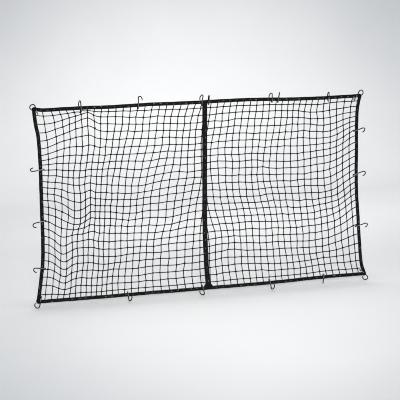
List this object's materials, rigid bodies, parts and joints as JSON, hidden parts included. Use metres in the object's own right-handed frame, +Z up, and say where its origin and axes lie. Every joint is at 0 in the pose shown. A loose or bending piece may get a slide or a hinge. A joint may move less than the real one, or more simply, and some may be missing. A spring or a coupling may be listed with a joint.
{
  "type": "pallet rack safety net",
  "caption": "Hanging safety net of knotted square mesh with a webbing border, a webbing strap down the middle and open wire S-hooks round the edge.",
  "frame": {"origin": "middle of the top border's centre line, in the plane of the twine", "axes": "+X along the top border to the viewer's right, +Z up, -Y towards the front, which is the webbing's side"},
  "size_m": [2.5164, 0.1245, 1.4694],
  "materials": {
    "twine": "matt black knotted twine",
    "webbing": "black woven webbing",
    "zinc_wire": "dull zinc-plated wire"
  },
  "bodies": {
    "root": {"net": "twine", "border_top": "webbing", "border_bottom": "webbing", "border_left": "webbing", "border_right": "webbing", "centre_strap": "webbing", "hook_corner_top_left": "zinc_wire", "hook_corner_top_right": "zinc_wire", "hook_corner_bottom_right": "zinc_wire", "hook_corner_bottom_left": "zinc_wire", "hook_top_1": "zinc_wire", "hook_top_2": "zinc_wire", "hook_top_3": "zinc_wire", "hook_top_4": "zinc_wire", "hook_top_5": "zinc_wire", "hook_top_6": "zinc_wire", "hook_top_7": "zinc_wire", "hook_bottom_1": "zinc_wire", "hook_bottom_2": "zinc_wire", "hook_bottom_3": "zinc_wire", "hook_bottom_4": "zinc_wire", "hook_left_1": "zinc_wire", "hook_left_2": "zinc_wire", "hook_left_3": "zinc_wire", "hook_right_1": "zinc_wire", "hook_right_2": "zinc_wire", "hook_right_3": "zinc_wire"}
  },
  "joints": []
}
